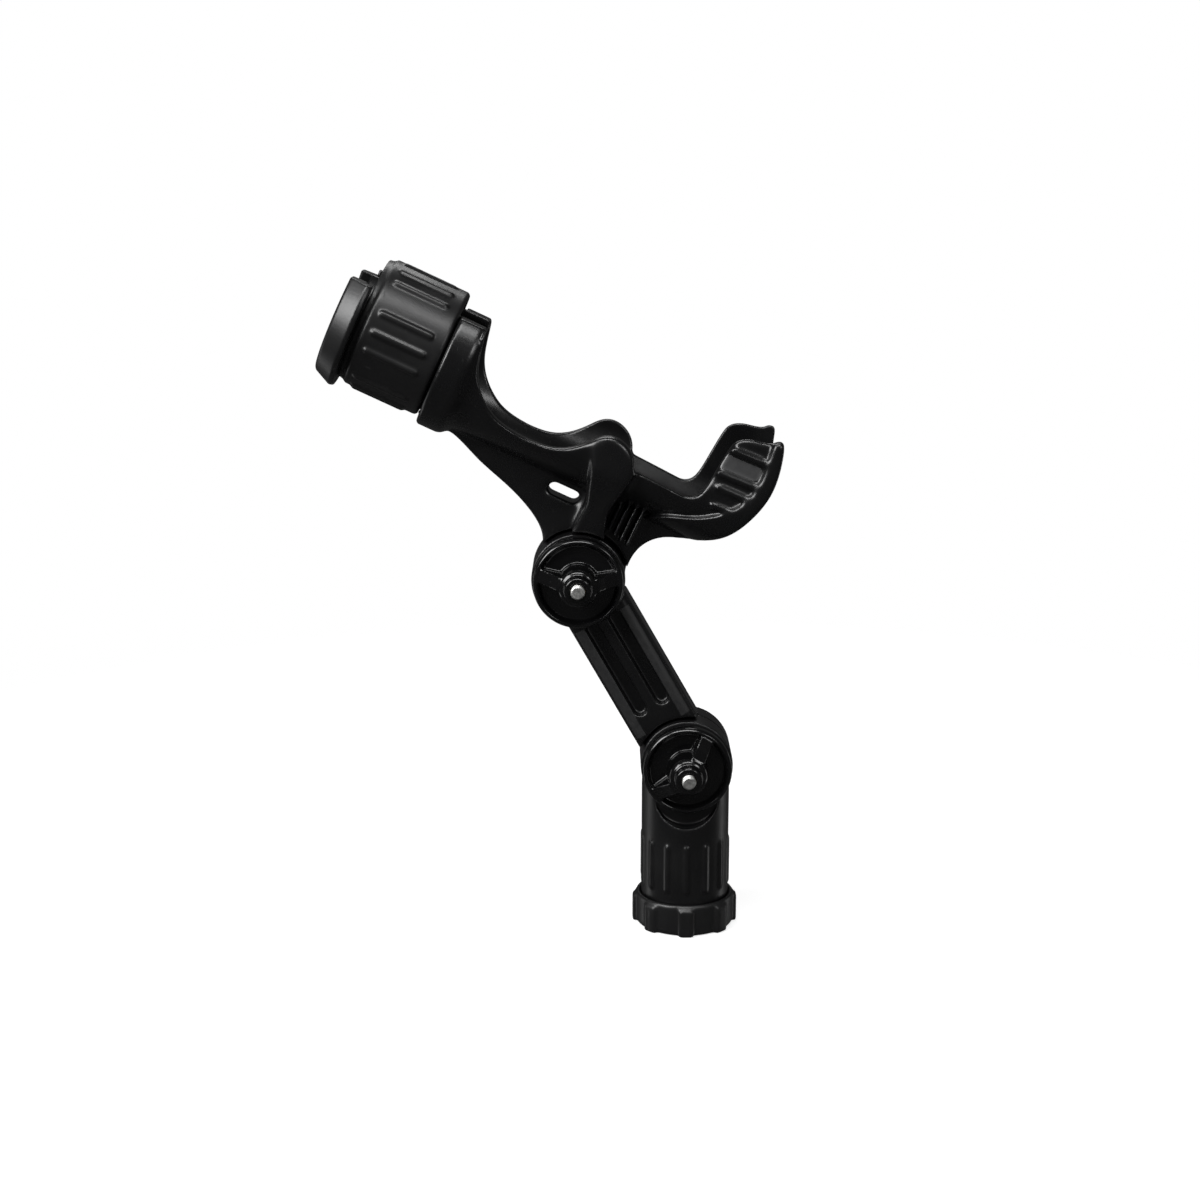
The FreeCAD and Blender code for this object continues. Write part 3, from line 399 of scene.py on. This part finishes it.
def cradle_softness(point):
    """How far the cradle's outside is rounded at a point: full on the swoop, pillar and web."""
    along, above, across = in_rod_frame(point)
    outside = grows(across if above > 0 else math.hypot(across, above), SOFT_OUT)
    swoop = grows(along, SOFT_SWOOP) * (1.0 - LESS_ON_HOOK * grows(along, SOFT_HOOK))
    clear_of_ear = grows(math.dist((along, above), UPPER_PIVOT), SOFT_EAR)
    clear_of_slot = grows(math.dist((along, above), SLOT_CENTRE), SOFT_SLOT)
    by_slot = LEAST_AT_SLOT + (1.0 - LEAST_AT_SLOT) * clear_of_slot
    in_ribs = (grows(along, RIBS_ALONG) * (1.0 - grows(across, RIBS_ACROSS))
               * grows(-above, RIBS_BELOW))
    return outside * swoop * clear_of_ear * by_slot * (1.0 - in_ribs)


def soften(piece, softness, passes):
    """Smooth a piece further, by an amount that differs from place to place."""
    group = piece.vertex_groups.new(name="softness")
    for vertex in piece.data.vertices:
        weight = softness(vertex.co)
        if weight > LEAST_WEIGHT:
            group.add([vertex.index], weight, "REPLACE")
    smoothing(piece, "softening", passes).vertex_group = group.name
    applied(piece)
    piece.vertex_groups.clear()


def on_hook_window(centre, normal):
    """Whether a face lies in the hook's large window, between the two upper short ribs."""
    along, above, across = in_rod_frame(centre)
    return (within(along, WINDOW_ALONG) and within(above, WINDOW_ABOVE)
            and within(across, WINDOW_ACROSS) and abs(normal.y) > WINDOW_FACING)


def on_arm_rail(centre, normal):
    """Whether a face lies on one of the arm's four side rails."""
    x = centre.x / MM
    z = centre.z / MM - LOWER_PIVOT_HEIGHT
    along = -x * math.sin(ARM_LEAN) + z * math.cos(ARM_LEAN)
    across = x * math.cos(ARM_LEAN) + z * math.sin(ARM_LEAN)
    return (within(along, RAIL_ALONG) and within(abs(across), RAIL_ACROSS)
            and abs(normal.y) > RAIL_FACING)


def texture_and_sheen_panels(piece, material, on_panel):
    """Give a second material, spark-textured and lighter as a painted sheen, to the faces of a
    piece that on_panel picks out.
    """
    piece.data.materials.append(material)
    for polygon in piece.data.polygons:
        if on_panel(polygon.center, polygon.normal):
            polygon.material_index = 1


def moulded_piece(node, material, voxel, passes):
    """A copy of a CAD node with its edges rounded, as they leave a mould."""
    piece = in_scene(f"moulded_{node}", NODES[node].data.copy())
    remesh = piece.modifiers.new("skin", "REMESH")
    remesh.mode = "VOXEL"
    remesh.voxel_size = voxel
    smoothing(piece, "rounding", passes)
    applied(piece)
    if node in SOFTENED:
        soften(piece, *SOFTENED[node])
    held_in_box(piece.data, *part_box(node))
    piece.data.shade_smooth()
    finish_piece(piece, node, material)
    return piece


def ring_of_points(shell, x, y, z, polar):
    """New points round the axis at (x, z), all at one y, each from its angle and radius."""
    return [shell.verts.new((x + radius * math.cos(angle), y, z + radius * math.sin(angle)))
            for angle, radius in polar]


def skin_rings(shell, rings):
    """Walls between neighbouring rings of points, and a face over each end."""
    for a, b in zip(rings, rings[1:]):
        for k in range(len(a)):
            n = (k + 1) % len(a)
            shell.faces.new((a[k], a[n], b[n], b[k]))
    shell.faces.new(rings[0])
    shell.faces.new(list(reversed(rings[-1])))


def thread_radius(angle, along, length):
    """The bolt's radius at an angle and a distance from its head, over a rounded V thread."""
    turn = (along / THREAD_PITCH - angle / (2 * math.pi)) % 1.0
    height = 0.5 + 0.5 * math.cos(2 * math.pi * turn)
    thread = BOLT_RADIUS - THREAD_DEPTH * (1.0 - height ** THREAD_SHARPNESS)
    point = BOLT_RADIUS - BOLT_POINT + min(length - along, BOLT_POINT)
    return min(thread, point)


def threaded_shank(shell, x, z, start, length):
    """A threaded rod that starts at y = start and points to -Y, closed at both ends."""
    rows = int(length / THREAD_PITCH * ROWS_PER_TURN)
    angles = [2 * math.pi * k / THREAD_SEGMENTS for k in range(THREAD_SEGMENTS)]
    rings = []
    for row in range(rows + 1):
        along = length * row / rows
        polar = [(angle, thread_radius(angle, along, length)) for angle in angles]
        rings.append(ring_of_points(shell, x, start - along, z, polar))
    skin_rings(shell, rings)


def hexagon_head(shell, x, z, back, front, flats, turn):
    """A bolt's head, from y = back to y = front, its back corners rounded off by a cone."""
    half = flats / 2
    corner = flats / math.sqrt(3)
    count = 6 * HEAD_STEPS
    rings = []
    for y, reach in ((back, HEAD_CONE * half), (back - HEAD_CHAMFER, corner), (front, corner)):
        polar = []
        for k in range(count):
            angle = 2 * math.pi * k / count
            from_flat = angle % (math.pi / 3) - math.pi / 6
            polar.append((turn + angle, min(half / math.cos(from_flat), reach)))
        rings.append(ring_of_points(shell, x, y, z, polar))
    skin_rings(shell, rings)


def pivot_bolt(node, material, turn):
    """A pivot's bolt with its thread, as long as the CAD one and on its axis."""
    low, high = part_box(node)
    x = (low.x + high.x) / 2
    z = (low.z + high.z) / 2
    flats = min(high.x - low.x, high.z - low.z) * HEAD_FLATS
    seat = high.y - HEAD_HEIGHT
    shank_start = seat + SHANK_IN_HEAD
    shell = bmesh.new()
    hexagon_head(shell, x, z, high.y, seat, flats, turn)
    threaded_shank(shell, x, z, shank_start, shank_start - low.y)
    bmesh.ops.recalc_face_normals(shell, faces=shell.faces)
    mesh = bpy.data.meshes.new(f"threaded_{node}")
    shell.to_mesh(mesh)
    shell.free()
    mesh.shade_smooth()
    mesh.set_sharp_from_angle(angle=SHARP_ANGLE)
    piece = in_scene(f"threaded_{node}", mesh)
    held_in_box(mesh, low, high)
    finish_piece(piece, node, material)


# ---------------------------------------------------------------- stage
def softbox(name, at, width, height, watts):
    """A rectangular lamp that shines on the object's middle."""
    light = bpy.data.lights.new(name, "AREA")
    light.shape = "RECTANGLE"
    light.size = width
    light.size_y = height
    light.energy = watts
    lamp = in_scene(name, light)
    lamp.location = at
    towards = Vector(LIT_CENTRE) - lamp.location
    lamp.rotation_euler = towards.to_track_quat("-Z", "Y").to_euler()


def floor_material():
    """Pale paper that fades into the background far from the object."""
    s = Shader("floor_paper")
    grain = s.ramp(s.noise(300.0, 3.0), 0.3, 0.7, 0.0, 1.0)
    s.link(s.blend(grain, (0.48, 0.48, 0.48), (0.52, 0.52, 0.52)), s.surface.inputs["Base Color"])
    s.set(Roughness=0.9, Specular_IOR_Level=0.1, Emission_Color=(1.0, 1.0, 1.0, 1.0),
          Emission_Strength=FLOOR_GLOW)
    distance = s.node("ShaderNodeVectorMath", operation="LENGTH")
    s.link(s.place, distance.inputs[0])
    s.link(s.ramp(distance.outputs["Value"], *FLOOR_FADE, 1.0, 0.0), s.surface.inputs["Alpha"])
    return s.material


def add_floor():
    """A round floor just under the object, which casts no shadow and isn't mirrored in it."""
    shell = bmesh.new()
    bmesh.ops.create_circle(shell, cap_ends=True, segments=FLOOR_SEGMENTS, radius=FLOOR_RADIUS)
    mesh = bpy.data.meshes.new("floor")
    shell.to_mesh(mesh)
    shell.free()
    floor = in_scene("floor", mesh)
    floor.location.z = CAD_BOX[0][2] - FLOOR_GAP
    floor.data.materials.append(floor_material())
    floor.visible_glossy = False
    floor.visible_shadow = False


def add_world():
    """A dim white room for the object, and plain white paper for the camera."""
    world = bpy.data.worlds.new("studio")
    bpy.context.scene.world = world
    world.use_nodes = True
    tree = world.node_tree
    tree.nodes.clear()
    output = tree.nodes.new("ShaderNodeOutputWorld")
    mix = tree.nodes.new("ShaderNodeMixShader")
    path = tree.nodes.new("ShaderNodeLightPath")
    tree.links.new(path.outputs["Is Camera Ray"], mix.inputs["Fac"])
    for socket, strength in ((1, ROOM_LIGHT), (2, 1.0)):
        background = tree.nodes.new("ShaderNodeBackground")
        background.inputs["Color"].default_value = (1.0, 1.0, 1.0, 1.0)
        background.inputs["Strength"].default_value = strength
        tree.links.new(background.outputs["Background"], mix.inputs[socket])
    tree.links.new(mix.outputs["Shader"], output.inputs["Surface"])
    bpy.context.scene.view_settings.view_transform = "Standard"


def add_camera():
    """The camera, on the knobs' side and a little above."""
    lens = bpy.data.cameras.new("camera")
    lens.lens = LENS
    lens.sensor_width = SENSOR
    camera = in_scene("camera", lens)
    camera.location = CAMERA_AT
    camera.rotation_euler = (math.radians(CAMERA_PITCH), 0.0, 0.0)
    bpy.context.scene.camera = camera


# ---------------------------------------------------------------- assembly
# node: voxel size and number of smoothing passes
MOULDED = {
    "cradle": (0.42 * MM, 14),
    "extension_arm": (0.45 * MM, 14),
    "base_stem": (0.45 * MM, 14),
    "locking_collar": (0.45 * MM, 14),
    "end_cap": (0.45 * MM, 5),
    "mount_nut": (0.45 * MM, 45),
    "lower_knob": (0.32 * MM, 20),
    "upper_knob": (0.32 * MM, 20),
}
# node: where it is rounded further, and by how many smoothing passes
SOFTENED = {"cradle": (cradle_softness, 170)}
# nodes whose finish differs from that of their slot
FINISHES = {
    "base_stem": "stem_plastic",
    "lower_knob": "knob_plastic",
    "upper_knob": "knob_plastic",
}
# node: finish of its spark-textured faces, lighter as a painted sheen, and which faces they are
PANELS = {
    "cradle": ("window_plastic_painted_sheen", on_hook_window),
    "extension_arm": ("rail_plastic_painted_sheen", on_arm_rail),
}
# bolt: how far its head is turned
BOLTS = {"lower_bolt": ARM_LEAN, "upper_bolt": -TILT}

add_camera()
add_floor()
for name, (at, width, height, watts) in LIGHTS.items():
    softbox(name, at, width, height, watts)
add_world()

materials = make_materials()
for name, (voxel, passes) in MOULDED.items():
    finish = FINISHES.get(name, SLOT_OF[name])
    moulded = moulded_piece(name, materials[finish], voxel, passes)
    if name in PANELS:
        panel_finish, on_panel = PANELS[name]
        texture_and_sheen_panels(moulded, materials[panel_finish], on_panel)
for name, angle in BOLTS.items():
    pivot_bolt(name, materials["steel"], angle)
for name, cad_node in NODES.items():
    if name not in MOULDED and name not in BOLTS:
        cad_node.data.materials.clear()
        cad_node.data.materials.append(materials[SLOT_OF[name]])
